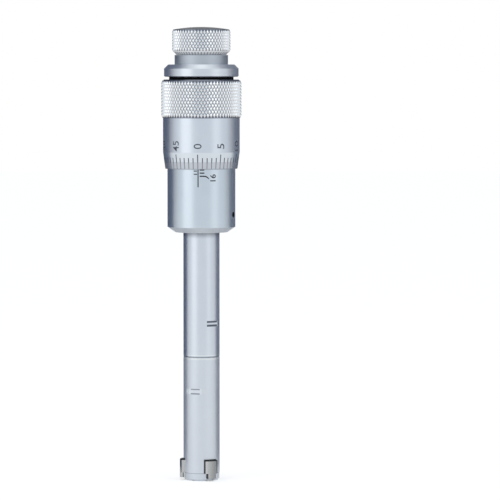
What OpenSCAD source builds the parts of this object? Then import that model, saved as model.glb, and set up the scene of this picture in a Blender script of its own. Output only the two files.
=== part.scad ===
// Three-point inside micrometer, reading 14 mm, standing on the end face of its measuring head.
// All sizes are in millimetres. The axis is Z and the side with the index line faces -Y.

/* [Head and stem] */
// Outside diameter of the measuring head and of the stem tube
stem_d = 11.6; // [11.4:0.1:13]
// Height of the head up to its joint with the stem tube
head_h = 39.7; // [37:0.1:46]
// Height of the end of the stem, where the collar begins
stem_h = 79.5; // [70:0.5:110]
// Thickness of the end cap
cap_h = 2.4; // [2.2:0.1:3]
// Width of the slanted lower edge of the end cap
cap_edge = 0.6; // [0.2:0.05:0.8]
// How far the end cap stays inside the outline of the head
cap_inset = 0.1; // [0:0.05:0.2]
// Thickness of the floor of the end cap under the tip of the cone
cap_floor = 0.8; // [0.6:0.05:1]
// Distance of the end cap's screws from the axis
screw_place = 4.3; // [4.1:0.05:4.5]
// Diameter of the threads of the end cap's screws
screw_d = 1.1; // [0.8:0.1:1.2]
// Diameter of the heads of the end cap's screws
screw_head_d = 1.9; // [1.6:0.1:2]
// Height of the heads of the end cap's screws
screw_head_h = 0.8; // [0.5:0.05:1]
// Length of thread that the end cap's screws have in the head
screw_grip = 2.8; // [1.5:0.1:3]
// Width of the slot in each screw's head
screw_slot_w = 0.3; // [0.2:0.05:0.5]
// Height of the spanner flats on the stem
flat_h = 1.8; // [1.2:0.1:3]
// Depth of the spanner flats on the stem
flat_depth = 0.43; // [0.2:0.01:0.6]
// Distance from the joint up to the middle of the tube's spanner flats
tube_flat_rise = 10.7; // [8:0.1:16]
// Distance from the joint down to the middle of the head's spanner flats
head_flat_drop = 11; // [9:0.1:14]
// Direction of the tube's spanner flats, from the front towards the right
tube_flat_turn = 38.6; // [0:0.2:90]
// Direction of the head's spanner flats, from the front towards the right
head_flat_turn = -22; // [-90:0.5:90]
// Wall of the head around the tube's threaded end
joint_wall = 1.2; // [0.9:0.05:1.5]
// Length of the tube's threaded end in the head
joint_h = 6; // [4:0.2:6.4]
// Length of the tube's upper end in the barrel
tube_grip = 8; // [5:0.2:9]
// Step from the tube's outside to its upper end
tube_step = 0.8; // [0.4:0.05:1.2]
// Broken edge at the joint between head and tube
joint_break = 0.16; // [0.05:0.01:0.3]

/* [Anvils] */
// Diameter over the three measuring faces as drawn
rest_d = 14; // [13.8:0.1:14.6]
// Travel of each anvil either way
anvil_travel = 1; // [0.6:0.05:1]
// Width of an anvil
anvil_w = 4.4; // [4:0.1:4.8]
// Height of an anvil above the end cap
anvil_h = 4.3; // [4.2:0.1:5]
// Depth of an anvil's block from its measuring face inwards
anvil_depth = 3.8; // [3.6:0.05:4]
// Curve of the measuring faces
face_curve = 4.2; // [3.8:0.1:5.9]
// Width of the lip below each anvil
lip_w = 2.8; // [2:0.1:3.4]
// Thickness of the lip below each anvil
lip_t = 1.3; // [1:0.05:1.4]
// Height of the lips' lower ends above the end face
lip_lift = 0.8; // [0.4:0.05:1.2]
// Width of the nose that rides on the cone
nose_w = 1.8; // [1.4:0.1:2]
// Height of the nose that rides on the cone
nose_h = 1.2; // [0.8:0.05:1.3]
// Distance from the top of an anvil down to its nose
nose_drop = 0.35; // [0.2:0.05:0.45]
// Width of the broken edges of an anvil
anvil_break = 0.2; // [0.1:0.05:0.3]
// Radius of the retracting spring's ring
ring_r = 4.4; // [4.3:0.05:4.5]
// Thickness of the retracting spring
ring_t = 0.84; // [0.5:0.02:0.9]

/* [Cone and rod] */
// Growth of the cone's radius for each millimetre of height
cone_slope = 0.5; // [0.45:0.01:0.55]
// Radius of the cone's blunt tip
tip_r = 0.6; // [0.4:0.05:0.7]
// Diameter of the cone's guided upper part
plunger_d = 6.6; // [6.2:0.1:6.8]
// Length of the cone's guided upper part
plunger_h = 4.6; // [3.4:0.1:6]
// Diameter of the push rod
rod_d = 3.5; // [2.8:0.1:3.6]
// Length of the push rod inside the cone
rod_seat = 3; // [2:0.1:3.2]
// Length of the push rod above the end of the stem
rod_over = 10.5; // [9:0.1:12]
// Thickness of the wall that carries the return spring
web_h = 3.4; // [2:0.1:4]
// Length of the return spring
spring_h = 12; // [10:0.1:12.4]
// Diameter over the return spring's coils
spring_d = 5.6; // [5:0.1:5.9]
// Thickness of the return spring's wire
spring_wire = 0.7; // [0.5:0.05:0.8]
// Number of turns of the return spring
spring_turns = 7; // [5:1:9]
// Diameter of the collar that the return spring lifts
collar_d = 6; // [5.9:0.1:6.4]
// Height of the collar that the return spring lifts
collar_h = 2; // [1.4:0.1:2.4]
// Diameter of the thrust ball
ball_d = 2.4; // [1.8:0.1:3]

/* [Barrel and sleeve] */
// Diameter of the graduated sleeve
sleeve_d = 21.7; // [21:0.1:24]
// Wall of the graduated sleeve
sleeve_wall = 1.23; // [0.8:0.05:1.6]
// Height of the slanted collar under the sleeve
seat_h = 1.7; // [1.2:0.1:2.4]
// Width of the slanted collar under the sleeve
seat_bevel = 2.5; // [1.5:0.1:3]
// Diameter of the spanner hole in the sleeve
hole_d = 1.9; // [1.4:0.1:2.6]
// Height of the spanner hole above the sleeve's lower edge
hole_rise = 4; // [2.5:0.1:6]
// Direction of the spanner hole, from the front towards the right
hole_turn = 70; // [40:1:120]
// Step from the barrel to its threaded end
thread_step = 1.6; // [1:0.1:2.4]
// Length of the barrel's threaded end
thread_h = 11; // [8.5:0.1:13]
// Height of the adjusting nut
nut_h = 6; // [4:0.1:7]
// Distance of the adjusting nut above the sleeve
nut_rise = 1; // [0.4:0.1:1.4]
// Width of the saw cuts in the barrel's threaded end
saw_w = 0.8; // [0.5:0.05:1.2]
// Diameter of the spindle's thread
spindle_d = 7; // [6.6:0.1:8]

/* [Thimble] */
// Height of the thimble's edge above the sleeve's lower edge
edge_rise = 18.6; // [17:0.1:22]
// Height of the graduated bevel
bevel_h = 5.3; // [3.5:0.1:7]
// Height of the plain part above the bevel
plain_h = 10.9; // [8:0.1:14]
// Height of the knurled part
band_h = 12.2; // [10.5:0.1:16]
// Wall of the thimble
thimble_wall = 1.15; // [0.9:0.05:1.6]
// Wall of the thimble at its graduated edge
edge_wall = 0.42; // [0.3:0.02:0.6]
// Height of the knurl over the plain part
band_rise = 0.6; // [0.5:0.05:0.9]
// Depth of the knurl
band_depth = 0.42; // [0.2:0.02:0.44]
// Diamonds of the knurl around the thimble
band_count = 74; // [48:1:84]
// Rows of half diamonds of the thimble's knurl
band_rows = 12; // [6:2:14]
// Smooth margin above and below the thimble's knurl
band_margin = 0.3; // [0.2:0.05:0.6]
// Thickness of the thimble's upper wall
top_wall = 3.5; // [2.4:0.1:4]
// Depth of the seat for the thimble cap
cap_seat = 2.2; // [1.4:0.1:3]
// Diameter of the spindle in the thimble's upper wall
hub_d = 8; // [7.2:0.1:9]
// Diameter of the spindle's shoulder
shoulder_d = 11; // [9.6:0.1:12]
// Height of the spindle's shoulder
shoulder_h = 1.2; // [0.8:0.1:1.4]

/* [Thimble cap] */
// Diameter of the flange
flange_d = 23.8; // [23:0.1:25]
// Height of the flange
flange_h = 3.9; // [3:0.1:5]
// Slanted upper edge of the flange
flange_edge = 1.3; // [0.6:0.1:1.6]
// Small lower edge of the flange
flange_break = 0.25; // [0.1:0.05:0.4]
// Diameter of the groove under the flange
groove_d = 20.6; // [19.6:0.1:21]
// Height of the groove under the flange
groove_h = 0.9; // [0.5:0.05:1.4]
// Diameter of the neck under the knob
neck_d = 17.05; // [16.4:0.05:17.6]
// Height of the neck under the knob
neck_h = 3; // [2:0.1:4]
// Height of the bearing that carries the knob
bearing_h = 2.5; // [2:0.1:3]
// Diameter of the spindle's upper end in the cap
tang_d = 6; // [5:0.1:6.6]

/* [Ratchet] */
// Diameter of the knob over its knurl
knob_d = 18.7; // [18.4:0.1:20]
// Height of the knob
knob_h = 8.1; // [7.6:0.1:9.5]
// Wall of the knob from the tops of its knurl to its bore
knob_wall = 2.8; // [2.6:0.1:3.2]
// Slanted lower edge of the knob
knob_edge = 0.9; // [0.5:0.05:1.2]
// Depth of the knob's knurl
knob_depth = 0.4; // [0.2:0.02:0.44]
// Diamonds of the knurl around the knob
knob_count = 54; // [36:1:62]
// Rows of half diamonds of the knob's knurl
knob_rows = 8; // [4:2:10]
// Thickness of the wall inside the knob
knob_web = 1.4; // [1:0.1:1.6]
// Height of the domed top of the knob
dome_h = 0.8; // [0.5:0.05:1.4]
// How far the domed top stays inside the knurl
dome_inset = 0.45; // [0.42:0.01:0.8]
// Length of the plug under the domed top
plug_h = 1.1; // [0.8:0.05:1.2]
// Number of ratchet teeth
tooth_count = 24; // [16:1:32]
// Height of the ratchet teeth
tooth_h = 0.6; // [0.3:0.05:0.7]
// Thickness of the ratchet wheel
wheel_h = 1.6; // [1.4:0.1:1.8]
// Diameter of the ratchet wheel
wheel_d = 11.8; // [11:0.1:12]
// Diameter of the ratchet pawl
pawl_d = 1.3; // [1:0.05:1.4]
// Length of the ratchet pawl
pawl_l = 1.5; // [1.2:0.05:1.6]
// Length of the spring behind the pawl
pawl_spring_h = 0.75; // [0.6:0.05:0.8]
// Thickness of the wire of the spring behind the pawl
pawl_wire = 0.2; // [0.14:0.02:0.24]
// Turns of the pawl's spring
pawl_turns = 3; // [2:1:4]
// Diameter of the ratchet screw's thread
bolt_d = 3; // [2.4:0.1:3.4]
// Diameter of the ratchet screw's shoulder
bolt_shoulder_d = 4; // [3.8:0.1:4.6]
// Diameter of the ratchet screw's head
bolt_head_d = 6.8; // [5.6:0.1:7.4]
// Height of the ratchet screw's head
bolt_head_h = 0.8; // [0.6:0.05:0.9]
// Length of thread that the ratchet screw has in the spindle
bolt_grip = 6; // [4:0.2:8]

/* [Clearances] */
// Gap around parts that are screwed or pushed together
fit_gap = 0.02; // [0.01:0.01:0.03]
// Gap around parts that slide or turn in each other
run_gap = 0.05; // [0.03:0.01:0.08]
// Gap between parts that pass without touching
free_gap = 0.25; // [0.2:0.05:0.35]
// Gap between an anvil and the top of its slot
slot_gap = 0.2; // [0.1:0.05:0.3]

/* [Hidden] */

$fn = 96;
// Corners of the wide sphere that shapes the domed top
dome_fn = 250;
// Overlap of cutting tools past the surface that they cut
over = 1;
// Directions of the three anvils, the first one to the left
anvil_turns = [180, 300, 60];
// Half a turn, between an anvil and the post across from it
half_turn = 180;
quarter_turn = half_turn / 2;
// Turn from the front to the X axis
front = -quarter_turn;
// Corners of a spring in each turn, and around its wire
coil_steps = 16;
coil_sides = 6;

stem_r = stem_d / 2;
cone_travel = anvil_travel / cone_slope;

// Heights in the head
anvil_low = cap_h + run_gap;
anvil_top = anvil_low + anvil_h;
slot_top = anvil_top + slot_gap;
tip_low = cap_floor + slot_gap + cone_travel;
cone_apex = tip_low - tip_r / cone_slope;
plunger_r = plunger_d / 2;
plunger_low = cone_apex + plunger_r / cone_slope;
plunger_top = plunger_low + plunger_h;
guide_top = plunger_top + cone_travel + free_gap;
web_top = guide_top + web_h;
collar_low = web_top + spring_h;
joint_low = head_h - joint_h;
guide_r = plunger_r + run_gap;
nose_top = anvil_top - nose_drop;
nose_low = nose_top - nose_h;
tip_well_r = (cap_h - cone_apex + cone_travel) * cone_slope + free_gap;

// Radii in the head
face_r = rest_d / 2;
block_r = face_r - anvil_depth;
ring_wire_r = ring_t / 2;
ring_bed = ring_wire_r + run_gap;
ring_mid = anvil_top - ring_wire_r;
ring_low = ring_mid - ring_bed;
lip_r = face_r - lip_t;
notch_w = lip_w + 2 * run_gap;
notch_r = lip_r - anvil_travel - free_gap;
joint_r = stem_r - joint_wall;
rod_r = rod_d / 2;
collar_r = collar_d / 2;
bore_r = collar_r + free_gap;
spring_r = spring_d / 2 - spring_wire / 2;

// Heights above the stem
sleeve_low = stem_h + seat_h;
edge_low = sleeve_low + edge_rise;
bevel_top = edge_low + bevel_h;
band_low = bevel_top + plain_h;
thimble_top = band_low + band_h;
seat_low = thimble_top - cap_seat;
hub_low = seat_low - top_wall;
shoulder_low = hub_low - shoulder_h;
barrel_top = shoulder_low - cone_travel - free_gap;
sleeve_top = barrel_top - thread_h;
nut_low = sleeve_top + nut_rise;
tube_top = stem_h + tube_grip;
rod_top = stem_h + rod_over;
ball_r = ball_d / 2;
// Share of the ball that sits in the end of the rod
ball_sink = ball_r / 3;
ball_mid = rod_top + ball_r - ball_sink;
spindle_low = ball_mid + ball_r + run_gap;
flange_low = thimble_top + groove_h;
flange_top = flange_low + flange_h;
neck_top = flange_top + neck_h;
tang_top = flange_top;
bearing_top = neck_top + bearing_h;
wheel_top = bearing_top + wheel_h;
knob_low = neck_top + run_gap;
knob_top = knob_low + knob_h;
knob_web_low = wheel_top + free_gap;
knob_web_top = knob_web_low + knob_web;
bolt_head_low = knob_web_top + run_gap;
plug_low = knob_top - plug_h;

// Radii above the stem
sleeve_r = sleeve_d / 2;
sleeve_bore_r = sleeve_r - sleeve_wall;
barrel_r = sleeve_bore_r - fit_gap;
thread_r = barrel_r - thread_step;
tube_end_r = stem_r - tube_step;
spindle_r = spindle_d / 2;
nut_bore_r = spindle_r + run_gap;
thimble_bore_r = sleeve_r + free_gap;
thimble_r = thimble_bore_r + thimble_wall;
edge_r = thimble_bore_r + edge_wall;
band_r = thimble_r + band_rise;
groove_r = groove_d / 2;
flange_r = flange_d / 2;
neck_r = neck_d / 2;
tang_r = tang_d / 2;
hub_r = hub_d / 2;
shoulder_r = shoulder_d / 2;
knob_r = knob_d / 2;
knob_bore_r = knob_r - knob_wall;
bearing_r = knob_bore_r - run_gap;
// How deep the knurled skins reach into the bodies that carry them
skin_depth = 0.3;
// Step from the knurl's valleys down to the body that carries it
skin_step = 0.12;
knob_core_r = knob_r - knob_depth - skin_step;
wheel_r = wheel_d / 2;
bolt_r = bolt_d / 2;
bolt_shoulder_r = bolt_shoulder_d / 2;
bolt_head_r = bolt_head_d / 2;
pawl_r = pawl_d / 2;
pawl_low = wheel_r + run_gap;
pawl_top = pawl_low + pawl_l;
pawl_mid = bearing_top + wheel_h / 2;
pawl_hole_top = pawl_top + pawl_spring_h;
dome_r = knob_r - dome_inset;
dome_curve = (dome_r * dome_r + dome_h * dome_h) / (2 * dome_h);
plug_r = knob_bore_r - fit_gap;

// Turns a profile of [radius, height] points about the axis.
module turned(profile) {
    rotate_extrude()
        polygon(profile);
}

// A plain round hole or bar along the axis.
module round_bar(r, low, top) {
    translate([0, 0, low])
        cylinder(r = r, h = top - low);
}

// A round hole or bar along X, at a height above the ground.
module cross_bar(r, from_r, to_r, height) {
    translate([from_r, 0, height])
        rotate([0, quarter_turn, 0])
            cylinder(r = r, h = to_r - from_r);
}

// A pair of spanner flats, as a cutting tool.
module flats(height, turn) {
    for (side = [0, half_turn])
        rotate([0, 0, front + turn + side])
            translate([stem_r - flat_depth, -stem_r, height - flat_h / 2])
                cube([stem_r, stem_d, flat_h]);
}

// A point of a ring with 2 * count corners.
function ring_point(r, corner, count, height) =
    let (turn = half_turn * corner / count)
    [r * cos(turn), r * sin(turn), height];

// The radius of a knurl's corner: a top or a valley, and valleys along both ends.
function knurl_r(row, corner, rows, tops, valleys) =
    row > 0 && row < rows && (row + corner) % 2 == 0 ? tops : valleys;

// A skin of diamond points around the axis, closed by an inner wall inside the body that carries it.
module knurl(tops, depth, low, h, count, rows) {
    valleys = tops - depth;
    inner = valleys - skin_depth;
    around = 2 * count;
    last = rows * around;
    foot = last + around;
    roof = foot + around;
    skin_points = [
        for (row = [0:rows])
            for (corner = [0:around - 1])
                ring_point(knurl_r(row, corner, rows, tops, valleys), corner, count, low + row * h / rows)
    ];
    wall_points = [
        for (end = [0, 1])
            for (corner = [0:around - 1])
                ring_point(inner, corner, count, low + end * h)
    ];
    skin_faces = [
        for (row = [0:rows - 1])
            for (corner = [0:around - 1])
                let (
                    a = row * around + corner,
                    b = row * around + (corner + 1) % around,
                    c = a + around,
                    d = b + around
                )
                for (face = (row + corner) % 2 == 0 ? [[c, b, a], [c, d, b]] : [[d, b, a], [c, d, a]])
                    face
    ];
    end_faces = [
        for (corner = [0:around - 1])
            let (next = (corner + 1) % around)
            for (face = [
                [foot + corner, foot + next, roof + next, roof + corner],
                [corner, next, foot + next, foot + corner],
                [last + next, last + corner, roof + corner, roof + next]
            ])
                face
    ];
    polyhedron(concat(skin_points, wall_points), concat(skin_faces, end_faces));
}

// A coil of round wire around the axis, with its ends on the two heights.
module coil(mean_r, wire_r, low, top, turns) {
    count = turns * coil_steps;
    rise = (top - low - 2 * wire_r) / count;
    points = [
        for (step = [0:count])
            for (side = [0:coil_sides - 1])
                let (
                    turn = 2 * half_turn * step / coil_steps,
                    tilt = 2 * half_turn * side / coil_sides,
                    r = mean_r + wire_r * cos(tilt)
                )
                [r * cos(turn), r * sin(turn), low + wire_r + step * rise + wire_r * sin(tilt)]
    ];
    tube = [
        for (step = [0:count - 1])
            for (side = [0:coil_sides - 1])
                let (
                    a = step * coil_sides + side,
                    b = step * coil_sides + (side + 1) % coil_sides,
                    c = a + coil_sides,
                    d = b + coil_sides
                )
                for (face = [[a, b, d], [a, d, c]])
                    face
    ];
    first = [for (side = [0:coil_sides - 1]) coil_sides - 1 - side];
    end = [for (side = [0:coil_sides - 1]) count * coil_sides + side];
    polyhedron(points, concat(tube, [first, end]));
}

module measuring_head() {
    color("silver")
        difference() {
            turned([
                [0, cap_h],
                [stem_r, cap_h],
                [stem_r, head_h - joint_break],
                [stem_r - joint_break, head_h],
                [0, head_h]
            ]);
            round_bar(guide_r, cap_h - over, guide_top);
            round_bar(rod_r + run_gap, guide_top - over, web_top + over);
            round_bar(bore_r, web_top, joint_low);
            round_bar(joint_r + fit_gap, joint_low, head_h + over);
            for (turn = anvil_turns)
                rotate([0, 0, turn])
                    translate([0, -anvil_w / 2 - run_gap, cap_h - over])
                        cube([stem_d, anvil_w + 2 * run_gap, slot_top - cap_h + over]);
            difference() {
                round_bar(ring_r + ring_bed + free_gap, ring_low - free_gap, slot_top);
                round_bar(ring_r - ring_bed - free_gap, cap_h, slot_top + over);
            }
            for (turn = anvil_turns)
                rotate([0, 0, turn + half_turn])
                    translate([screw_place, 0, 0])
                        round_bar(screw_d / 2 + fit_gap, cap_h - over, cap_h + screw_grip);
            flats(head_h - head_flat_drop, head_flat_turn);
        }
}

module end_cap() {
    color("gainsboro")
        difference() {
            turned([
                [0, 0],
                [stem_r - cap_inset - cap_edge, 0],
                [stem_r - cap_inset, cap_edge],
                [stem_r - cap_inset, cap_h],
                [0, cap_h]
            ]);
            round_bar(tip_well_r, cap_floor, cap_h + over);
            for (turn = anvil_turns)
                rotate([0, 0, turn]) {
                    translate([notch_r, -notch_w / 2, -over])
                        cube([stem_d, notch_w, cap_h + 2 * over]);
                    rotate([0, 0, half_turn])
                        translate([screw_place, 0, 0]) {
                            round_bar(screw_d / 2 + fit_gap, -over, cap_h + over);
                            round_bar(screw_head_d / 2 + fit_gap, -over, screw_head_h + run_gap);
                        }
                }
        }
}

module end_cap_screws() {
    color("dimgray")
        for (turn = anvil_turns)
            rotate([0, 0, turn + half_turn])
                translate([screw_place, 0, 0])
                    difference() {
                        union() {
                            round_bar(screw_head_d / 2, run_gap, screw_head_h + run_gap);
                            round_bar(screw_d / 2, screw_head_h, cap_h + screw_grip - fit_gap);
                        }
                        translate([-screw_head_d, -screw_slot_w / 2, -over])
                            cube([2 * screw_head_d, screw_slot_w, over + screw_head_h / 2]);
                    }
}

module stem_tube() {
    color("silver")
        difference() {
            turned([
                [bore_r, joint_low + free_gap],
                [joint_r, joint_low + free_gap],
                [joint_r, head_h],
                [stem_r - joint_break, head_h],
                [stem_r, head_h + joint_break],
                [stem_r, stem_h],
                [tube_end_r, stem_h],
                [tube_end_r, tube_top],
                [bore_r, tube_top]
            ]);
            flats(head_h + tube_flat_rise, tube_flat_turn);
        }
}

module barrel() {
    color("lightgray")
        difference() {
            turned([
                [tube_end_r + fit_gap, stem_h],
                [sleeve_r - seat_bevel, stem_h],
                [sleeve_r, sleeve_low],
                [barrel_r, sleeve_low],
                [barrel_r, sleeve_top],
                [thread_r, sleeve_top],
                [thread_r, barrel_top],
                [nut_bore_r, barrel_top],
                [nut_bore_r, tube_top + fit_gap],
                [tube_end_r + fit_gap, tube_top + fit_gap]
            ]);
            for (side = anvil_turns)
                rotate([0, 0, side])
                    translate([0, -saw_w / 2, nut_low])
                        cube([sleeve_d, saw_w, barrel_top - nut_low + over]);
        }
}

module graduated_sleeve() {
    color("gainsboro")
        difference() {
            turned([
                [sleeve_bore_r, sleeve_low],
                [sleeve_r, sleeve_low],
                [sleeve_r, sleeve_top],
                [sleeve_bore_r, sleeve_top]
            ]);
            rotate([0, 0, front + hole_turn])
                cross_bar(hole_d / 2, barrel_r, sleeve_d, sleeve_low + hole_rise);
        }
}

module adjusting_nut() {
    color("darkgray")
        turned([
            [thread_r + fit_gap, nut_low],
            [barrel_r, nut_low],
            [barrel_r, nut_low + nut_h],
            [thread_r + fit_gap, nut_low + nut_h]
        ]);
}

module retracting_spring() {
    color("slategray")
        translate([0, 0, ring_mid])
            rotate_extrude()
                translate([ring_r, 0])
                    circle(r = ring_wire_r);
}

module measuring_cone() {
    color("lightsteelblue")
        difference() {
            turned([
                [0, tip_low],
                [tip_r, tip_low],
                [plunger_r, plunger_low],
                [plunger_r, plunger_top],
                [0, plunger_top]
            ]);
            round_bar(rod_r + fit_gap, plunger_top - rod_seat, plunger_top + over);
        }
}

module push_rod() {
    color("darkgray")
        difference() {
            round_bar(rod_r, plunger_top - rod_seat, rod_top);
            translate([0, 0, ball_mid])
                sphere(r = ball_r + fit_gap);
        }
}

module rod_collar() {
    color("goldenrod")
        turned([
            [rod_r + fit_gap, collar_low],
            [collar_r, collar_low],
            [collar_r, collar_low + collar_h],
            [rod_r + fit_gap, collar_low + collar_h]
        ]);
}

module thrust_ball() {
    color("lightsteelblue")
        translate([0, 0, ball_mid])
            sphere(r = ball_r);
}

module return_spring() {
    color("slategray")
        coil(spring_r, spring_wire / 2, web_top, collar_low, spring_turns);
}

// One anvil: a block with its curved measuring face, a lip below and a nose that rides on the cone.
module anvil(turn) {
    nose_back = (nose_low - cone_apex) * cone_slope + run_gap;
    nose_front = (nose_top - cone_apex) * cone_slope + run_gap;
    color("lightsteelblue")
        rotate([0, 0, turn]) {
            difference() {
                intersection() {
                    translate([block_r, -anvil_w / 2, anvil_low])
                        cube([anvil_depth, anvil_w, anvil_h]);
                    union() {
                        translate([face_r - face_curve, 0, 0])
                            round_bar(face_curve, anvil_low - over, anvil_top - anvil_break);
                        translate([face_r - face_curve, 0, anvil_top - anvil_break])
                            cylinder(r1 = face_curve, r2 = face_curve - anvil_break, h = anvil_break);
                    }
                }
                difference() {
                    round_bar(ring_r + ring_bed, ring_low, anvil_top + over);
                    round_bar(ring_r - ring_bed, ring_low - over, anvil_top + 2 * over);
                }
            }
            intersection() {
                translate([lip_r, -lip_w / 2, lip_lift])
                    cube([lip_t, lip_w, anvil_low + anvil_break - lip_lift]);
                translate([face_r - face_curve, 0, 0])
                    round_bar(face_curve, 0, anvil_top);
            }
            translate([0, nose_w / 2, 0])
                rotate([quarter_turn, 0, 0])
                    linear_extrude(nose_w)
                        polygon([
                            [nose_back, nose_low],
                            [block_r + anvil_break, nose_low],
                            [block_r + anvil_break, nose_top],
                            [nose_front, nose_top]
                        ]);
        }
}

module anvil_1() {
    anvil(anvil_turns[0]);
}

module anvil_2() {
    anvil(anvil_turns[1]);
}

module anvil_3() {
    anvil(anvil_turns[2]);
}

module spindle() {
    color("silver")
        difference() {
            turned([
                [0, spindle_low],
                [spindle_r, spindle_low],
                [spindle_r, shoulder_low],
                [shoulder_r, shoulder_low],
                [shoulder_r, hub_low],
                [hub_r, hub_low],
                [hub_r, seat_low],
                [tang_r, seat_low],
                [tang_r, tang_top],
                [0, tang_top]
            ]);
            round_bar(bolt_r + fit_gap, tang_top - bolt_grip, tang_top + over);
        }
}

module thimble() {
    color("silver") {
        turned([
            [thimble_bore_r, edge_low],
            [edge_r, edge_low],
            [thimble_r, bevel_top],
            [thimble_r, thimble_top - band_margin],
            [thimble_r - band_margin, thimble_top],
            [groove_r + fit_gap, thimble_top],
            [groove_r + fit_gap, seat_low],
            [hub_r + fit_gap, seat_low],
            [hub_r + fit_gap, hub_low],
            [thimble_bore_r, hub_low]
        ]);
        knurl(band_r, band_depth, band_low, band_h - band_margin, band_count, band_rows);
    }
}

module thimble_cap() {
    color("silver")
        turned([
            [tang_r + fit_gap, seat_low],
            [groove_r, seat_low],
            [groove_r, flange_low],
            [flange_r - flange_break, flange_low],
            [flange_r, flange_low + flange_break],
            [flange_r, flange_top - flange_edge],
            [flange_r - flange_edge, flange_top],
            [neck_r, flange_top],
            [neck_r, neck_top],
            [bearing_r, neck_top],
            [bearing_r, bearing_top],
            [bolt_r + fit_gap, bearing_top],
            [bolt_r + fit_gap, tang_top + fit_gap],
            [tang_r + fit_gap, tang_top + fit_gap]
        ]);
}

module ratchet_wheel() {
    color("darkgray")
        translate([0, 0, bearing_top])
            linear_extrude(wheel_h)
                difference() {
                    polygon([
                        for (tooth = [0:tooth_count - 1])
                            for (flank = [0, 1])
                                let (
                                    r = wheel_r - flank * tooth_h,
                                    turn = 2 * half_turn * tooth / tooth_count
                                )
                                [r * cos(turn), r * sin(turn)]
                    ]);
                    circle(r = bolt_r + fit_gap);
                }
}

module ratchet_screw() {
    color("dimgray")
        turned([
            [0, tang_top - bolt_grip + free_gap],
            [bolt_r, tang_top - bolt_grip + free_gap],
            [bolt_r, wheel_top],
            [bolt_shoulder_r, wheel_top],
            [bolt_shoulder_r, bolt_head_low],
            [bolt_head_r, bolt_head_low],
            [bolt_head_r, bolt_head_low + bolt_head_h],
            [0, bolt_head_low + bolt_head_h]
        ]);
}

module ratchet_knob() {
    color("gainsboro") {
        difference() {
            turned([
                [knob_bore_r, knob_low],
                [knob_core_r - knob_edge, knob_low],
                [knob_core_r, knob_low + knob_edge],
                [knob_core_r, knob_top],
                [knob_bore_r, knob_top],
                [knob_bore_r, knob_web_top],
                [bolt_shoulder_r + run_gap, knob_web_top],
                [bolt_shoulder_r + run_gap, knob_web_low],
                [knob_bore_r, knob_web_low]
            ]);
            rotate([0, 0, -front])
                cross_bar(pawl_r + run_gap, knob_bore_r - over, pawl_hole_top, pawl_mid);
        }
        knurl(knob_r, knob_depth, knob_low + knob_edge, knob_h - knob_edge - fit_gap, knob_count, knob_rows);
    }
}

module ratchet_pawl() {
    color("goldenrod")
        rotate([0, 0, -front])
            cross_bar(pawl_r, pawl_low, pawl_top, pawl_mid);
}

module ratchet_spring() {
    color("slategray")
        rotate([0, 0, -front])
            translate([0, 0, pawl_mid])
                rotate([0, quarter_turn, 0])
                    coil(pawl_r - pawl_wire, pawl_wire / 2, pawl_top, pawl_hole_top, pawl_turns);
}

module knob_cap() {
    color("dimgray") {
        round_bar(plug_r, plug_low, knob_top + dome_h / 4);
        intersection() {
            translate([0, 0, knob_top + dome_h - dome_curve])
                sphere(r = dome_curve, $fn = dome_fn);
            round_bar(dome_r, knob_top, knob_top + dome_h);
        }
    }
}

measuring_head();
end_cap();
end_cap_screws();
stem_tube();
barrel();
graduated_sleeve();
adjusting_nut();
retracting_spring();
measuring_cone();
push_rod();
rod_collar();
thrust_ball();
return_spring();
anvil_1();
anvil_2();
anvil_3();
spindle();
thimble();
thimble_cap();
ratchet_wheel();
ratchet_screw();
ratchet_knob();
ratchet_pawl();
ratchet_spring();
knob_cap();
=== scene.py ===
"""Looks of the three-point inside micrometer: finishes, graduations, numerals, light and camera."""

import math
from functools import cached_property

import bpy
import bmesh
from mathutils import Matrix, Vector


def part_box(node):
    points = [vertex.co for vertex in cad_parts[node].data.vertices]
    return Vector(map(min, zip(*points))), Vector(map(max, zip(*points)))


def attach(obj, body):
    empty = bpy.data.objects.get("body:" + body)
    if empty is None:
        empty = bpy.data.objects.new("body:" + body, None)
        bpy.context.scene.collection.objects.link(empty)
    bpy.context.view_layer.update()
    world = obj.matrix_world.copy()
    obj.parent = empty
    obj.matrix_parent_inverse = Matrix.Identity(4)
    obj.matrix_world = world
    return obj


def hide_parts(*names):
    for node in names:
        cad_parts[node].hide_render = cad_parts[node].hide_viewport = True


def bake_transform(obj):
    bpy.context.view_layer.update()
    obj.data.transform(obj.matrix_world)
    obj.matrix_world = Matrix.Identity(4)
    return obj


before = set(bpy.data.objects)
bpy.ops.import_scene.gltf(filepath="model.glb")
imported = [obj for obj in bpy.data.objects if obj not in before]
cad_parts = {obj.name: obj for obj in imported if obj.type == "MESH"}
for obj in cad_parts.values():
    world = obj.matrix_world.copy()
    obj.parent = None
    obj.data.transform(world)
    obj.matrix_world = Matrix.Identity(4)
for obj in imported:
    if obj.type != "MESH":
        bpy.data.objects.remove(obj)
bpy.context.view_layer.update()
scene = bpy.context.scene
MM = 0.001


# Sizes of the part, in millimetres, read from the frame

def low_of(node):
    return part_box(node)[0][2] / MM


def top_of(node):
    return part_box(node)[1][2] / MM


def radius_of(node):
    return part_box(node)[1][0] / MM


SLEEVE_R = radius_of("graduated_sleeve")
STEM_R = radius_of("stem_tube")
BAND_R = radius_of("thimble")
KNOB_R = radius_of("ratchet_knob")
ANVIL_TOP = top_of("anvil_1")
HEAD_TOP = top_of("measuring_head")
BARREL_LOW = low_of("barrel")
SLEEVE_LOW = low_of("graduated_sleeve")
SLEEVE_TOP = top_of("graduated_sleeve")
EDGE_LOW = low_of("thimble")
THIMBLE_TOP = top_of("thimble")
KNOB_LOW = low_of("ratchet_knob")
KNOB_TOP = top_of("ratchet_knob")

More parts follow.
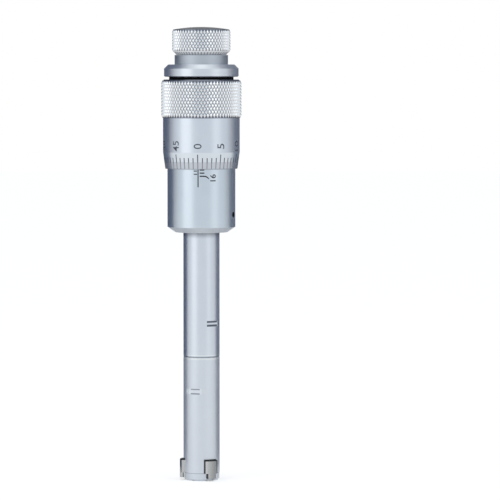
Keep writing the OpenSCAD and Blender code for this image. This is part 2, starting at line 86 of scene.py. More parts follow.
# Sizes that the part's source has and the frame's boxes don't show
BEVEL_H = 5.3
PLAIN_H = 10.9
EDGE_R = 11.52
PLAIN_R = 12.25
GROOVE_H = 0.9
FLANGE_H = 3.9
BAND_DEPTH = 0.42
KNOB_DEPTH = 0.4
KNOB_EDGE = 0.9
KNOB_COUNT = 54
FLAT_H = 1.8
TUBE_FLAT_RISE = 10.7
HEAD_FLAT_DROP = 11.0
HEAD_FLAT_TURN = -22.0
SLOT_GAP = 0.2
CAP_H = 2.4
CAP_R = 5.7
CAP_EDGE = 0.6

# Heights worked out from these
SLOT_TOP = ANVIL_TOP + SLOT_GAP
TUBE_FLAT = HEAD_TOP + TUBE_FLAT_RISE
HEAD_FLAT = HEAD_TOP - HEAD_FLAT_DROP
BEVEL_TOP = EDGE_LOW + BEVEL_H
BAND_LOW = BEVEL_TOP + PLAIN_H
FLANGE_LOW = THIMBLE_TOP + GROOVE_H
FLANGE_TOP = FLANGE_LOW + FLANGE_H

# A layer that starts or ends this far past a piece also covers the piece's end
PAST = 1.0


# Colours

CHROME = (0.86, 0.895, 0.94)
CHROME_DARK = (0.80, 0.835, 0.89)
HEAD_CHROME = (0.88, 0.91, 0.95)
HEAD_DARK = (0.82, 0.85, 0.90)
COLLAR_CHROME = (0.84, 0.87, 0.91)
COLLAR_DARK = (0.78, 0.81, 0.85)
SLEEVE_CHROME = (0.80, 0.86, 0.905)
SLEEVE_DARK = (0.74, 0.80, 0.855)
CAP_CHROME = (0.91, 0.92, 0.95)
CAP_DARK = (0.83, 0.845, 0.88)
NECK = (0.60, 0.63, 0.67)
BRIGHT = (0.97, 0.975, 0.98)
BRIGHT_DARK = (0.92, 0.93, 0.95)
# Darker, duller chrome for the knob's dome: painted shade standing in for a dark reflection
DOME_SHADED = (0.70, 0.71, 0.74)
DOME_SHADED_DARK = (0.60, 0.61, 0.64)
BEVEL_BRIGHT = (0.86, 0.91, 0.96)
# The lower part of the bevel is darker; its rim has painted shade
BEVEL_LOWER = (0.70, 0.725, 0.77)
BEVEL_RIM_SHADE = (0.45, 0.47, 0.52)
# Painted shade in the valleys of the knurls
VALLEY_SHADE = (0.24, 0.25, 0.29)
TOOTH = (0.98, 0.985, 0.99)
TOOTH_SHADE = (0.46, 0.47, 0.51)
# Painted glints beside the head's spanner flat
GLINT = (0.93, 0.98, 1.0)
# Painted highlights on both sides of the groove between head and tube
HEAD_GLEAM = (0.98, 1.0, 1.0)
TUBE_GLEAM = (0.95, 0.98, 1.0)
GROOVE_SHADE = (0.17, 0.18, 0.21)
JOINT_SHADE = (0.42, 0.44, 0.49)
BARREL_SHADE = (0.36, 0.37, 0.40)
HEAD_FLAT_SHADE = (0.42, 0.43, 0.47)
TUBE_FLAT_SHADE = (0.20, 0.21, 0.25)
# Painted black shade in slots, notches, holes, the cap's groove and on the anvils
BLACK_SHADE = (0.012, 0.012, 0.014)
ANVIL_STEEL = (0.68, 0.68, 0.67)
ANVIL_DARK = (0.56, 0.56, 0.55)
# Painted light and shade on the anvils: a lit strip, a grey falloff and a dark flank
ANVIL_LIT = (0.95, 0.95, 0.94)
ANVIL_SHADE = (0.24, 0.245, 0.25)
FLANK_SHADE = (0.06, 0.06, 0.065)
LINE_PAINT = (0.03, 0.031, 0.038)
LINE_DARK = (0.012, 0.012, 0.016)
NUMERAL_PAINT = (0.13, 0.14, 0.16)
NUMERAL_DARK = (0.09, 0.10, 0.115)
WORN_PAINT = (0.40, 0.41, 0.45)
WHITE = (1.0, 1.0, 1.0)


# Materials

def rgba(color):
    """A colour with its alpha. A socket stays as it is."""
    if isinstance(color, bpy.types.NodeSocket):
        return color
    return (*color, 1.0)


class Nodes:
    """A short hand for building a node tree."""

    def __init__(self, tree):
        self.tree = tree
        tree.nodes.clear()

    def add(self, kind, inputs=None, **settings):
        node = self.tree.nodes.new(kind)
        for key, value in settings.items():
            setattr(node, key, value)
        for key, value in (inputs or {}).items():
            if isinstance(value, bpy.types.NodeSocket):
                self.tree.links.new(value, node.inputs[key])
            else:
                node.inputs[key].default_value = value
        return node

    def math(self, operation, a, b=0.0, c=0.0):
        return self.add("ShaderNodeMath", {0: a, 1: b, 2: c}, operation=operation).outputs[0]

    def times(self, a, b):
        return self.math("MULTIPLY", a, b)

    def dot(self, a, b):
        return self.add("ShaderNodeVectorMath", {0: a, 1: b}, operation="DOT_PRODUCT").outputs["Value"]

    def ramp(self, value, low, high, to_low=0.0, to_high=1.0):
        """A smooth step between two values."""
        return self.add("ShaderNodeMapRange", {0: value, 1: low, 2: high, 3: to_low, 4: to_high},
                        interpolation_type="SMOOTHSTEP").outputs[0]

    def fall(self, value, low, high):
        """A smooth step down from 1 to 0."""
        return self.ramp(value, low, high, 1.0, 0.0)

    def between(self, value, low, high, soft):
        """1 where value lies between low and high, with soft edges."""
        up = self.ramp(value, low - soft, low + soft)
        down = self.fall(value, high - soft, high + soft)
        return self.times(up, down)

    def mix_color(self, factor, a, b):
        return self.add("ShaderNodeMix", {0: factor, 6: rgba(a), 7: rgba(b)}, data_type="RGBA").outputs[2]

    def mix_value(self, factor, a, b):
        return self.add("ShaderNodeMix", {0: factor, 2: a, 3: b}, data_type="FLOAT").outputs[0]

    def noise(self, place, scale, detail=3.0):
        inputs = {"Vector": place, "Scale": scale, "Detail": detail, "Roughness": 0.58}
        return self.add("ShaderNodeTexNoise", inputs).outputs[0]

    @cached_property
    def place(self):
        """Object coordinates, in metres."""
        return self.add("ShaderNodeTexCoord").outputs["Object"]

    @cached_property
    def axes(self):
        return self.add("ShaderNodeSeparateXYZ", {0: self.place}).outputs

    @cached_property
    def height(self):
        """The height, in millimetres."""
        return self.math("DIVIDE", self.axes[2], MM)

    @cached_property
    def radius(self):
        """The distance from the axis, in millimetres."""
        level = self.add("ShaderNodeCombineXYZ", {0: self.axes[0], 1: self.axes[1], 2: 0.0})
        length = self.add("ShaderNodeVectorMath", {0: level.outputs[0]}, operation="LENGTH")
        return self.math("DIVIDE", length.outputs["Value"], MM)


def new_material(name):
    material = bpy.data.materials.new(name)
    material.use_nodes = True
    return material, Nodes(material.node_tree)


BUMP_HEIGHT = 0.02 * MM


def metal_surface(n, color, roughness, metallic, relief, depth, grazing=1.0):
    """The shader of a metal: colour, roughness, a bump and how bright it is at grazing angles."""
    bump = n.add("ShaderNodeBump", {"Strength": depth, "Distance": BUMP_HEIGHT, "Height": relief})
    shader = n.add("ShaderNodeBsdfPrincipled", {
        "Base Color": color, "Roughness": roughness, "Metallic": metallic, "Normal": bump.outputs[0],
        "Specular Tint": (grazing, grazing, grazing, 1.0)})
    n.add("ShaderNodeOutputMaterial", {"Surface": shader.outputs[0]})


class Look:
    """The tone, roughness and metal of a surface, on which layers are laid."""

    def __init__(self, n, tone, grain, metallic):
        self.n = n
        self.tone = tone
        self.grain = grain
        self.metallic = metallic

    def lay(self, where, color, rough=None, metallic=None):
        self.tone = self.n.mix_color(where, self.tone, color)
        if rough is not None:
            self.grain = self.n.mix_value(where, self.grain, rough)
        if metallic is not None:
            self.metallic = self.n.mix_value(where, self.metallic, metallic)


# Layers of turned metal. Each gives a function that lays it on a look. Lengths are in millimetres.

RING_SOFT = 0.03
RECESS_SOFT = 0.02
RECESS_STEP = 0.03


def ring(low, high, color, rough):
    """Another colour between two heights."""
    def lay_on(n, look):
        look.lay(n.between(n.height, low, high, RING_SOFT), color, rough)
    return lay_on


def recess(low, high, below, color, rough):
    """Another colour between two heights, where the surface lies below a radius."""
    def lay_on(n, look):
        deep = n.fall(n.radius, below - RECESS_STEP, below)
        look.lay(n.times(n.between(n.height, low, high, RECESS_SOFT), deep), color, rough)
    return lay_on


# The painted shade of a valley fades out at this share of the knurl's depth below its tops
VALLEY_SHARE = 0.72
KNURL_SOFT = 0.05


def knurl_valleys(low, high, tops, depth):
    """Painted shade in the valleys between the diamonds of a knurl."""
    def lay_on(n, look):
        valley = n.fall(n.radius, tops - depth, tops - VALLEY_SHARE * depth)
        look.lay(n.times(n.between(n.height, low, high, KNURL_SOFT), valley), VALLEY_SHADE)
    return lay_on


def shade_towards(start, end, color):
    """A shade that grows from one height to another."""
    def lay_on(n, look):
        look.lay(n.ramp(n.height, start, end), color)
    return lay_on


# How far the satin of the knob's edge reaches up into its knurl
SATIN_REACH = 0.45
SATIN_SOFT = 0.12
TEETH_SOFT = 0.08
TEETH_STEP = (-0.8, 0.6)


def tooth_ends(low, high, count):
    """A satin edge with the ends of the knurl's teeth painted on it, with painted shade between the teeth.
    """
    def lay_on(n, look):
        turn = n.math("ARCTAN2", n.axes[1], n.axes[0])
        teeth = n.ramp(n.math("COSINE", n.times(turn, float(count))), *TEETH_STEP)
        look.lay(n.between(n.height, low, high, TEETH_SOFT), n.mix_color(teeth, TOOTH_SHADE, TOOTH))
        satin = n.between(n.height, low, high + SATIN_REACH, SATIN_SOFT)
        look.metallic = n.mix_value(satin, look.metallic, 0.1)
    return lay_on


# The painted glints beside a spanner flat: from where to where along it from its middle, and half their
# height
GLINT_NEAR = 2.35
GLINT_FAR = 3.2
GLINT_HALF = 0.7
GLINT_SOFT = 0.3
GLINT_RISE_SOFT = 0.4


def flat_glints(turn, middle):
    """Painted glints: bright, less metallic spots at both ends of a spanner flat."""
    def lay_on(n, look):
        a = math.radians(turn)
        along = n.math("DIVIDE", n.dot(n.place, (math.cos(a), math.sin(a), 0.0)), MM)
        beside = n.between(n.math("ABSOLUTE", along), GLINT_NEAR, GLINT_FAR, GLINT_SOFT)
        level = n.between(n.height, middle - GLINT_HALF, middle + GLINT_HALF, GLINT_RISE_SOFT)
        look.lay(n.times(beside, level), GLINT, metallic=0.2)
    return lay_on


# A painted shade line starts this far outside the edge of a flat
LINE_OUT = 0.05


def flat_edges(middle, line, depth, shade):
    """Painted shade along the two edges of a spanner flat, where it lies deeper than depth below the stem.
    """
    low, high = middle - FLAT_H / 2, middle + FLAT_H / 2
    below = STEM_R - depth
    return [recess(low - LINE_OUT, low + line, below, shade, rough=0.5),
            recess(high - line, high + LINE_OUT, below, shade, rough=0.5)]


# Share of the turned rings and of the cloudy tone in the roughness, and the cloud's fineness per metre
RINGS_ROUGH = 0.12
CLOUD_ROUGH = 0.06
CLOUD_SCALE = 160.0


def turned_metal(name, color, dark, rough, layers=(), line_scale=2600.0, line_depth=0.15,
                 metallic=1.0, grazing=1.0):
    """Metal turned on a lathe, with faint rings along the axis, a cloudy tone and uneven roughness."""
    material, n = new_material(name)
    rings_at = n.add("ShaderNodeCombineXYZ", {0: 0.0, 1: 0.0, 2: n.axes[2]}).outputs[0]
    rings = n.noise(rings_at, line_scale)
    cloud = n.noise(n.place, CLOUD_SCALE, 4.0)
    smoothest = rough - (RINGS_ROUGH + CLOUD_ROUGH) / 2
    grain = n.math("MULTIPLY_ADD", rings, RINGS_ROUGH, n.math("MULTIPLY_ADD", cloud, CLOUD_ROUGH, smoothest))
    look = Look(n, n.mix_color(cloud, dark, color), grain, metallic)
    for lay_on in layers:
        lay_on(n, look)
    metal_surface(n, look.tone, look.grain, look.metallic, rings, line_depth, grazing)
    return material


# Ground lines: their share in the roughness, their depth, and their fineness per metre along and across
GRIND_ROUGH = 0.16
GRIND_DEPTH = 0.12
GRIND_ALONG = 300.0
GRIND_ACROSS = 5000.0


def ground_lines(n, scale, rough):
    """The lines of a ground surface and its uneven roughness."""
    grind = n.add("ShaderNodeMapping", {"Vector": n.place, "Scale": scale})
    lines = n.noise(grind.outputs[0], 1.0, 4.0)
    return lines, n.math("MULTIPLY_ADD", lines, GRIND_ROUGH, rough - GRIND_ROUGH / 2)


def ground_steel(name, color, dark, rough):
    """Steel ground on a round grinder, with fine lines around it."""
    material, n = new_material(name)
    lines, grain = ground_lines(n, (GRIND_ALONG, GRIND_ALONG, GRIND_ACROSS), rough)
    metal_surface(n, n.mix_color(lines, dark, color), grain, 1.0, lines, GRIND_DEPTH)
    return material


# The painted dark shade around the top of an anvil, and where the front of its lip starts
ANVIL_BAND = (ANVIL_TOP - 0.34, ANVIL_TOP - 0.28)
LIP_FRONT = (6.1, 6.2)
LIP_TOP = (CAP_H - 0.05, CAP_H + 0.05)
FACES_UP = (0.85, 0.95)
# The painted light and shade on an anvil's flanks and face go by these leans
# Parts of an anvil by how far its surface leans round the axis: below 0 is clockwise, seen from above
FLANK_LEAN = (-4.0, -3.2)
LIT_LEAN = (-3.0, 0.2)
SHADE_LEAN = (-2.2, 2.4)
OTHER_FLANK_LEAN = (3.9, 4.5)


def anvil_steel(name, rough):
    """Ground steel with painted shade: black on the upper faces, around the top and on the inner part of the
    lip, and dark on the clockwise flank. The face has a painted falloff of light from bright by that flank
    to grey."""
    material, n = new_material(name)
    lines, grain = ground_lines(n, (GRIND_ACROSS, GRIND_ACROSS, GRIND_ALONG), rough)
    facing = n.add("ShaderNodeNewGeometry").outputs["Normal"]
    upward = n.add("ShaderNodeSeparateXYZ", {0: facing}).outputs[2]
    lip_front = n.math("MAXIMUM", n.ramp(n.radius, *LIP_FRONT), n.ramp(n.height, *LIP_TOP))
    below_top = n.times(n.fall(n.height, *ANVIL_BAND), lip_front)
    ground = n.times(n.fall(upward, *FACES_UP), below_top)
    upright = (0.0, 0.0, 1.0)
    around = n.add("ShaderNodeVectorMath", {0: upright, 1: n.place}, operation="CROSS_PRODUCT").outputs[0]
    lean = n.math("DIVIDE", n.dot(around, facing), MM)
    flank = n.fall(lean, *FLANK_LEAN)
    tone = n.mix_color(lines, ANVIL_DARK, ANVIL_STEEL)
    tone = n.mix_color(n.fall(lean, *LIT_LEAN), tone, ANVIL_LIT)
    shaded = n.times(n.ramp(lean, *SHADE_LEAN), n.fall(lean, *OTHER_FLANK_LEAN))
    tone = n.mix_color(shaded, tone, ANVIL_SHADE)
    tone = n.mix_color(flank, tone, FLANK_SHADE)
    tone = n.mix_color(ground, BLACK_SHADE, tone)
    outside_dark_shade = n.times(ground, n.math("SUBTRACT", 1.0, flank))
    metal_surface(n, tone, n.mix_value(outside_dark_shade, 0.6, grain), outside_dark_shade, lines, GRIND_DEPTH)
    return material


PAINT_SPECKS = 4000.0
WORN_SHARE = 0.80


def line_paint(name, color, dark, worn=None):
    """Paint in engraved lines. It is worn thin below the first height in worn and whole above the second."""
    material, n = new_material(name)
    tone = n.mix_color(n.noise(n.place, PAINT_SPECKS, 2.0), dark, color)
    if worn:
        tone = n.mix_color(n.ramp(n.height, *worn, WORN_SHARE, 0.0), tone, WORN_PAINT)
    shader = n.add("ShaderNodeBsdfPrincipled", {"Base Color": tone, "Roughness": 0.55, "Metallic": 0.0})
    n.add("ShaderNodeOutputMaterial", {"Surface": shader.outputs[0]})
    return material


# The walls of a slot, notch or hole are painted black, as shade, from this far inside the outer surface
WALL_IN = 0.04
# The painted shade of the groove between head and tube, and the painted highlights on both sides of it
GROOVE_LINE = (HEAD_TOP - 0.05, HEAD_TOP + 0.16)
TUBE_GLEAM_LINE = (HEAD_TOP + 0.4, HEAD_TOP + 0.75)
HEAD_GLEAM_LINE = (HEAD_TOP - 0.85, HEAD_TOP - 0.4)
# The painted shade of the joint between head and end cap
JOINT_LINE = (CAP_H - 0.05, CAP_H + 0.12)
SLOT_WALL = (CAP_H + 0.2, SLOT_TOP + 0.02)
NOTCH_WALL = (CAP_EDGE + 0.1, CAP_H - 0.02)
# The shade on the tube under the barrel
BARREL_SHADE_FROM = BARREL_LOW - 2.2
BARREL_SHADE_TO = BARREL_LOW + 0.1
# The spanner hole of the sleeve, painted black inside as shade, lies above this rim
SLEEVE_RIM = 2.5
# The lower part of the bevel is darker, with a painted shade along its rim
BEVEL_LOWER_TOP = EDGE_LOW + 2.3
BRIGHT_LOW = EDGE_LOW + 2.4
RIM_TOP = EDGE_LOW + 0.22
# The painted black shade of the cap's groove goes down into the thimble and ends just under the flange
GROOVE_LOW = THIMBLE_TOP - 3.0
GROOVE_TOP = FLANGE_LOW - 0.02
NECK_LOW = FLANGE_TOP + 0.05
KNOB_KNURL_LOW = KNOB_LOW + KNOB_EDGE
TEETH_LOW = KNOB_LOW + 0.1

head_finish = turned_metal("head_chrome", HEAD_CHROME, HEAD_DARK, 0.37, metallic=0.8, layers=[
    ring(*JOINT_LINE, JOINT_SHADE, rough=0.5),
    ring(*HEAD_GLEAM_LINE, HEAD_GLEAM, rough=0.37),
    *flat_edges(HEAD_FLAT, line=0.4, depth=0.2, shade=HEAD_FLAT_SHADE),
    recess(*SLOT_WALL, STEM_R - WALL_IN, BLACK_SHADE, rough=0.7),
    flat_glints(HEAD_FLAT_TURN, HEAD_FLAT),
])
end_finish = turned_metal("end_cap_chrome", CHROME, CHROME_DARK, 0.38, metallic=0.8, layers=[
    recess(*NOTCH_WALL, CAP_R - WALL_IN, BLACK_SHADE, rough=0.7),
])
tube_finish = turned_metal("tube_chrome", CHROME, CHROME_DARK, 0.31, layers=[
    ring(*GROOVE_LINE, GROOVE_SHADE, rough=0.5),
    ring(*TUBE_GLEAM_LINE, TUBE_GLEAM, rough=0.31),
    *flat_edges(TUBE_FLAT, line=0.6, depth=0.03, shade=TUBE_FLAT_SHADE),
    shade_towards(BARREL_SHADE_FROM, BARREL_SHADE_TO, BARREL_SHADE),
])
barrel_finish = turned_metal("barrel_chrome", COLLAR_CHROME, COLLAR_DARK, 0.40, metallic=0.15)
sleeve_finish = turned_metal("sleeve_chrome", SLEEVE_CHROME, SLEEVE_DARK, 0.30, layers=[
    recess(SLEEVE_LOW + SLEEVE_RIM, SLEEVE_TOP + PAST, SLEEVE_R - WALL_IN, BLACK_SHADE, rough=0.7),
])
thimble_finish = turned_metal("thimble_chrome", CHROME, CHROME_DARK, 0.30, layers=[
    ring(BRIGHT_LOW, BEVEL_TOP, BEVEL_BRIGHT, rough=0.30),
    ring(EDGE_LOW - PAST, BEVEL_LOWER_TOP, BEVEL_LOWER, rough=0.36),
    ring(EDGE_LOW - PAST, RIM_TOP, BEVEL_RIM_SHADE, rough=0.5),
    ring(BAND_LOW, THIMBLE_TOP + PAST, BRIGHT, rough=0.17),
    knurl_valleys(BAND_LOW, THIMBLE_TOP + PAST, BAND_R, BAND_DEPTH),
])
cap_finish = turned_metal("cap_chrome", CAP_CHROME, CAP_DARK, 0.31, layers=[
    ring(GROOVE_LOW, GROOVE_TOP, BLACK_SHADE, rough=0.7),
    ring(NECK_LOW, KNOB_LOW + PAST, NECK, rough=0.44),
], line_scale=3200.0, line_depth=0.6)
knob_finish = turned_metal("knob_chrome", BRIGHT, BRIGHT_DARK, 0.2, layers=[
    knurl_valleys(KNOB_KNURL_LOW + SATIN_REACH, KNOB_TOP + PAST, KNOB_R, KNOB_DEPTH),
    tooth_ends(TEETH_LOW, KNOB_KNURL_LOW, KNOB_COUNT),
])
# The dome's chrome is darker, and duller at grazing angles: painted shade
shaded_dome_finish = turned_metal("dome_chrome_painted_shade", DOME_SHADED, DOME_SHADED_DARK, 0.3, grazing=0.22)
brass = turned_metal("brass", (0.86, 0.68, 0.34), (0.78, 0.58, 0.26), 0.3)
steel = ground_steel("ground_steel", (0.66, 0.68, 0.71), (0.55, 0.57, 0.6), 0.28)
spring_finish = ground_steel("spring_steel", (0.4, 0.41, 0.43), (0.3, 0.31, 0.33), 0.35)
screw_finish = ground_steel("screw_steel", (0.3, 0.3, 0.32), (0.2, 0.2, 0.22), 0.4)
anvil_finish = anvil_steel("anvil_steel", 0.2)
marks_paint = line_paint("marks_paint", LINE_PAINT, LINE_DARK, worn=(EDGE_LOW + 1.8, EDGE_LOW + 2.6))
sleeve_paint = line_paint("sleeve_paint", LINE_PAINT, LINE_DARK)
numeral_paint = line_paint("numeral_paint", NUMERAL_PAINT, NUMERAL_DARK)

FINISHES = {
    "measuring_head": head_finish, "end_cap": end_finish, "stem_tube": tube_finish, "barrel": barrel_finish,
    "graduated_sleeve": sleeve_finish, "thimble": thimble_finish, "thimble_cap": cap_finish,
    "ratchet_knob": knob_finish, "knob_cap": shaded_dome_finish,
    "anvil_1": anvil_finish, "anvil_2": anvil_finish, "anvil_3": anvil_finish,
    "measuring_cone": steel, "push_rod": steel, "thrust_ball": steel, "spindle": steel,
    "adjusting_nut": steel, "ratchet_wheel": steel, "ratchet_screw": screw_finish,
    "end_cap_screws": screw_finish, "retracting_spring": spring_finish,
    "return_spring": spring_finish, "ratchet_spring": spring_finish,
    "rod_collar": brass, "ratchet_pawl": brass,
}
for name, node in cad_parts.items():
    node.data.materials.clear()
    node.data.materials.append(FINISHES[name])

# The return spring stands on the head, with its upper end on the collar of the rod. Its mesh is copied into
# a coil of its own, and the part is hidden.
spring_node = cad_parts["return_spring"]
coil_data = spring_node.data.copy()
coil_data.transform(spring_node.matrix_world)
coil = bpy.data.objects.new("return_spring_coil", coil_data)
scene.collection.objects.link(coil)
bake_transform(coil)
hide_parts("return_spring")


# Graduations and numerals, wrapped on the turned surfaces, in millimetres and degrees

# How far the paint stands out
PAINT = 0.014
# A level line is cut about this often, so that it follows the round surface
LEVEL_STEP = 1.5
# Strips that a numeral is cut into, for the same reason
NUMERAL_CUTS = 8


def on_surface(radius, turn, height):
    """A point at a turn in degrees from the front towards the right."""
    a = math.radians(turn)
    return Vector((radius * math.sin(a), -radius * math.cos(a), height)) * MM


def flat_words(words, weight):
    """Words as a flat mesh, cut into level strips."""
    curve = bpy.data.curves.new("numeral", "FONT")
    curve.body = words
    curve.offset = weight
    holder = bpy.data.objects.new("numeral", curve)
    scene.collection.objects.link(holder)
    bpy.context.view_layer.update()
    flat = bpy.data.meshes.new_from_object(holder.evaluated_get(bpy.context.evaluated_depsgraph_get()))
    bpy.data.objects.remove(holder)
    digits = bmesh.new()
    digits.from_mesh(flat)
    bpy.data.meshes.remove(flat)
    ys = [v.co.y for v in digits.verts]
    for i in range(1, NUMERAL_CUTS):
        cut_y = min(ys) + (max(ys) - min(ys)) * i / NUMERAL_CUTS
        parts = digits.verts[:] + digits.edges[:] + digits.faces[:]
        bmesh.ops.bisect_plane(digits, geom=parts, plane_co=(0, cut_y, 0), plane_no=(0, 1, 0))
    return digits


class Marks:
    """Painted marks on one turned surface, gathered into one mesh."""

    def __init__(self, radius_at):
        self.radius_at = radius_at
        self.mesh = bmesh.new()

    def vertex(self, turn, height):
        return self.mesh.verts.new(on_surface(self.radius_at(height) + PAINT, turn, height))

    def upright(self, turn, low, high, width):
        """An upright line at a turn."""
        half = math.degrees(width / 2 / self.radius_at(low))
        low_pair = [self.vertex(turn + side * half, low) for side in (-1, 1)]
        high_pair = [self.vertex(turn + side * half, high) for side in (-1, 1)]
        self.mesh.faces.new((low_pair[0], low_pair[1], high_pair[1], high_pair[0]))

    def stroke(self, points, width):
        """A line through (turn, height) points around the surface."""
        rows = []
        for turn, height in points:
            rows.append([self.vertex(turn, height + side * width / 2) for side in (-1, 1)])
        for a, b in zip(rows, rows[1:]):
            self.mesh.faces.new((a[0], b[0], b[1], a[1]))

    def level(self, turn_a, turn_b, height, width):
        """A level line from one turn to another."""
        steps = max(2, int(abs(turn_b - turn_a) / LEVEL_STEP))
        turns = [turn_a + (turn_b - turn_a) * i / steps for i in range(steps + 1)]
        self.stroke([(turn, height) for turn in turns], width)

    def numeral(self, words, turn, height, digit_h, digit_w, weight):
        """Numerals that read upwards, with their tops to the left, centred at a turn and height."""
        digits = flat_words(words, weight)
        xs = [v.co.x for v in digits.verts]
        ys = [v.co.y for v in digits.verts]
        mid_x, mid_y = (min(xs) + max(xs)) / 2, (min(ys) + max(ys)) / 2
        wide = digit_w * len(words) / (max(xs) - min(xs))
        tall = digit_h / (max(ys) - min(ys))
        radius = self.radius_at(height) + PAINT
        made = {}
        for v in digits.verts:
            up = height + (v.co.x - mid_x) * wide
            side = turn - math.degrees((v.co.y - mid_y) * tall / radius)
            made[v] = self.vertex(side, up)
        for f in digits.faces:
            self.mesh.faces.new([made[v] for v in f.verts])
        digits.free()

    def piece(self, name, body, finish):
        data = bpy.data.meshes.new(name)
        self.mesh.to_mesh(data)
        self.mesh.free()
        data.materials.append(finish)
        made = bpy.data.objects.new(name, data)
        scene.collection.objects.link(made)
        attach(made, body)


def bevel_radius(height):
    t = (height - EDGE_LOW) / BEVEL_H
    return EDGE_R + (PLAIN_R - EDGE_R) * min(max(t, 0.0), 1.0)


# The scale of the thimble: 50 lines, with a longer line and a numeral at every fifth
INDEX_TURN = -5.6
DIVISIONS = 50
NAMED_STEP = 5
LINE_W = 0.26
LINE_LOW = EDGE_LOW + 0.12
LONG_LINE = EDGE_LOW + 4.75
SHORT_LINE = EDGE_LOW + 3.65
NUMERAL_MID = BEVEL_TOP + 2.05
thimble_lines = Marks(bevel_radius)
thimble_numerals = Marks(lambda height: PLAIN_R)
for division in range(DIVISIONS):
    turn = INDEX_TURN + division * 360.0 / DIVISIONS
    named = division % NAMED_STEP == 0
    thimble_lines.upright(turn, LINE_LOW, LONG_LINE if named else SHORT_LINE, LINE_W)
    if named:
        thimble_numerals.numeral(str(division), turn, NUMERAL_MID, digit_h=2.5, digit_w=1.62, weight=0.004)
thimble_lines.piece("thimble_lines", "thimble", marks_paint)
thimble_numerals.piece("thimble_numerals", "thimble", numeral_paint)

# The scale of the sleeve runs from 12 to 16 and reads 14 at rest. A line right of the index is a whole
# millimetre, and one left of it is a half.
FIRST_READING = 12
LAST_READING = 16
REST_READING = 14
INDEX_LOW = EDGE_LOW - 5.6
INDEX_TOP = EDGE_LOW + 2.4
INDEX_W = 0.34
# A whole millimetre shows just below the edge of the thimble when the thimble reads 0
TICK_DROP = 0.14
TICK_W = 0.4
HALF_TICK_W = 0.3
# Ends of these lines, and the leader from the last line to its numeral, in millimetres round the sleeve
TICK = (0.5, 2.0)
HALF_TICK = (-1.4, -0.3)
LEADER = [(1.98, 0.0), (2.3, -0.05), (2.6, -0.15), (2.9, -0.32), (3.2, -0.55), (3.5, -0.8)]
READING_TURN = 4.8
READING_MID = EDGE_LOW - 2.65


def round_sleeve(length):
    """The turn at a length round the sleeve from the index line."""
    return INDEX_TURN + math.degrees(length / SLEEVE_R)


sleeve_marks = Marks(lambda height: SLEEVE_R)
sleeve_marks.upright(INDEX_TURN, INDEX_LOW, INDEX_TOP, INDEX_W)
for reading in range(FIRST_READING, LAST_READING + 1):
    tick_at = EDGE_LOW + REST_READING - reading
    sleeve_marks.level(*map(round_sleeve, TICK), tick_at - TICK_DROP, TICK_W)
    if reading < LAST_READING:
        sleeve_marks.level(*map(round_sleeve, HALF_TICK), tick_at - 0.5, HALF_TICK_W)
last_tick = EDGE_LOW + REST_READING - LAST_READING - TICK_DROP
sleeve_marks.stroke([(round_sleeve(x), last_tick + drop) for x, drop in LEADER], TICK_W)
sleeve_marks.numeral(str(LAST_READING), round_sleeve(READING_TURN), READING_MID,
                     digit_h=1.9, digit_w=1.12, weight=0.014)
sleeve_marks.piece("sleeve_marks", "frame", sleeve_paint)


# Studio, in metres

def area_light(name, turn, distance, height, width, tall, power):
    """A softbox at a turn in degrees from the front, turned to the axis of the object."""
    light = bpy.data.lights.new(name, "AREA")
    light.shape = "RECTANGLE"
    light.size, light.size_y = width, tall
    light.energy = power
    holder = bpy.data.objects.new(name, light)
    a = math.radians(turn)
    holder.location = (distance * math.sin(a), -distance * math.cos(a), height)
    aim = Vector((0, 0, height)) - holder.location
    holder.rotation_euler = aim.to_track_quat("-Z", "Y").to_euler()
    holder.visible_camera = False
    scene.collection.objects.link(holder)


area_light("softbox_left", turn=-47.0, distance=0.7, height=0.75, width=0.44, tall=1.5, power=0.82)
area_light("softbox_right", turn=46.0, distance=0.7, height=0.75, width=0.30, tall=1.5, power=0.31)


def seen_rays(n):
    """Camera rays, and those that metal or glass sends on, which see the background as well."""
    rays = n.add("ShaderNodeLightPath")
    bounced = n.math("MAXIMUM", rays.outputs["Is Glossy Ray"], rays.outputs["Is Transmission Ray"])
    return rays.outputs["Is Camera Ray"], bounced


# What the metal sees, by parts of the direction: a tent in front, a darker room behind, a white backdrop
# straight behind and a bright ceiling. The light itself is plain.
TENT = (0.566, 0.647, 0.728)
ROOM = (0.085, 0.10, 0.15)
CEILING = (0.96, 1.02, 1.06)
PLAIN_LIGHT = (0.94, 0.97, 1.0)
PLAIN_STRENGTH = 0.62
TENT_EDGE = (0.23, -0.16)
BACKDROP_EDGE = (0.90, 0.97)
BACKDROP_TOP = (0.3, 0.5)
CEILING_EDGE = (0.40, 0.62)


def studio_world():
    world = bpy.data.worlds.new("studio")
    scene.world = world
    world.use_nodes = True
    n = Nodes(world.node_tree)
    toward = n.add("ShaderNodeSeparateXYZ", {0: n.add("ShaderNodeTexCoord").outputs["Generated"]})
    behind, above = toward.outputs[1], toward.outputs[2]
    backdrop = n.times(n.ramp(behind, *BACKDROP_EDGE), n.fall(above, *BACKDROP_TOP))
    room = n.mix_color(n.ramp(behind, *TENT_EDGE), ROOM, TENT)
    room = n.mix_color(n.ramp(above, *CEILING_EDGE), room, CEILING)
    is_camera, bounced = seen_rays(n)
    paper = n.mix_color(n.math("MAXIMUM", backdrop, is_camera), room, WHITE)
    plain = n.add("ShaderNodeBackground", {"Color": rgba(PLAIN_LIGHT), "Strength": PLAIN_STRENGTH})
    seen = n.add("ShaderNodeBackground", {"Color": paper, "Strength": 1.0})
    is_seen = n.math("MAXIMUM", is_camera, bounced)
    both = n.add("ShaderNodeMixShader", {0: is_seen, 1: plain.outputs[0], 2: seen.outputs[0]})
    n.add("ShaderNodeOutputWorld", {0: both.outputs[0]})


studio_world()

FLOOR_HALF = 3.0
FLOOR_GREY = (0.86, 0.86, 0.86)
FLOOR_PALE = (0.9, 0.9, 0.9)
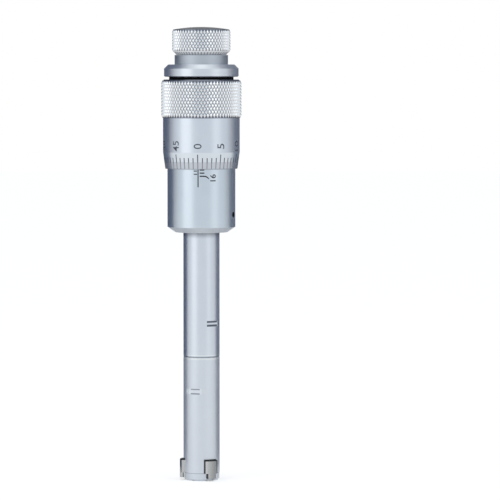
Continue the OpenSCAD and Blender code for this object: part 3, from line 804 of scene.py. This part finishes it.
# How much the floor is lifted towards white for the camera, and for what the metal shows of it
CAMERA_LIFT = 0.475
BOUNCED_LIFT = 0.2


def floor_paper():
    """Pale paper, lifted towards white, that keeps the object's shadow."""
    material, n = new_material("floor_paper")
    paper = n.add("ShaderNodeBsdfDiffuse", {
        "Color": n.mix_color(n.noise(n.place, 300.0), FLOOR_GREY, FLOOR_PALE)})
    is_camera, bounced = seen_rays(n)
    strength = n.math("MULTIPLY_ADD", bounced, BOUNCED_LIFT, n.times(is_camera, CAMERA_LIFT))
    lift = n.add("ShaderNodeEmission", {"Color": rgba(WHITE), "Strength": strength})
    lifted = n.add("ShaderNodeAddShader", {0: paper.outputs[0], 1: lift.outputs[0]})
    n.add("ShaderNodeOutputMaterial", {"Surface": lifted.outputs[0]})
    return material


floor_data = bpy.data.meshes.new("floor")
corners = [(-FLOOR_HALF, -FLOOR_HALF, 0), (FLOOR_HALF, -FLOOR_HALF, 0),
           (FLOOR_HALF, FLOOR_HALF, 0), (-FLOOR_HALF, FLOOR_HALF, 0)]
floor_data.from_pydata(corners, [], [(0, 1, 2, 3)])
floor_data.materials.append(floor_paper())
floor = bpy.data.objects.new("floor", floor_data)
scene.collection.objects.link(floor)

# The cards stand on both sides, a little behind the object
CARD_TURN = 126.0
CARD_AWAY = 0.036
CARD_W = 0.04
CARD_H = 0.4


def card_felt(name, color, dark):
    material, n = new_material(name)
    felt = n.add("ShaderNodeBsdfDiffuse", {"Color": n.mix_color(n.noise(n.place, 900.0), dark, color)})
    n.add("ShaderNodeOutputMaterial", {"Surface": felt.outputs[0]})
    return material


def flag_card(name, turn, finish):
    """A dark card beside the object, seen only in the metal, as photographers set for chrome."""
    a = math.radians(turn)
    out = Vector((math.sin(a), -math.cos(a), 0.0)) * CARD_AWAY
    along = Vector((math.cos(a), math.sin(a), 0.0)) * CARD_W / 2
    up = Vector((0.0, 0.0, CARD_H))
    data = bpy.data.meshes.new(name)
    data.from_pydata([out - along, out + along, out + along + up, out - along + up], [], [(0, 1, 2, 3)])
    data.materials.append(finish)
    card = bpy.data.objects.new(name, data)
    card.visible_camera = False
    card.visible_diffuse = False
    card.visible_shadow = False
    scene.collection.objects.link(card)


flag_card("card_left", -CARD_TURN, card_felt("felt_blue", (0.19, 0.23, 0.33), (0.16, 0.19, 0.28)))
flag_card("card_right", CARD_TURN, card_felt("felt_grey", (0.30, 0.34, 0.42), (0.27, 0.30, 0.37)))


# Camera. The photograph's frame is 500 pixels wide, and the axis, the foot and the eye's level are at these.
FRAME_PX = 500
AXIS_PX = 201.45
FOOT_PX = 480.3
EYE_PX = 50
PX = 0.32 * MM
EYE_AWAY = 1.18
camera_data = bpy.data.cameras.new("camera")
camera = bpy.data.objects.new("camera", camera_data)
scene.collection.objects.link(camera)
eye = Vector((0.0, -EYE_AWAY, (FOOT_PX - EYE_PX) * PX))
target = Vector(((FRAME_PX / 2 - AXIS_PX) * PX, 0.0, (FOOT_PX - FRAME_PX / 2) * PX))
aim = target - eye
camera.location = eye
camera.rotation_euler = aim.to_track_quat("-Z", "Y").to_euler()
camera_data.sensor_width = 36.0
camera_data.lens = camera_data.sensor_width * aim.length / (FRAME_PX * PX)
camera_data.clip_start = 0.01
camera_data.clip_end = 20.0
scene.camera = camera

scene.view_settings.view_transform = "Standard"

bpy.context.view_layer.update()
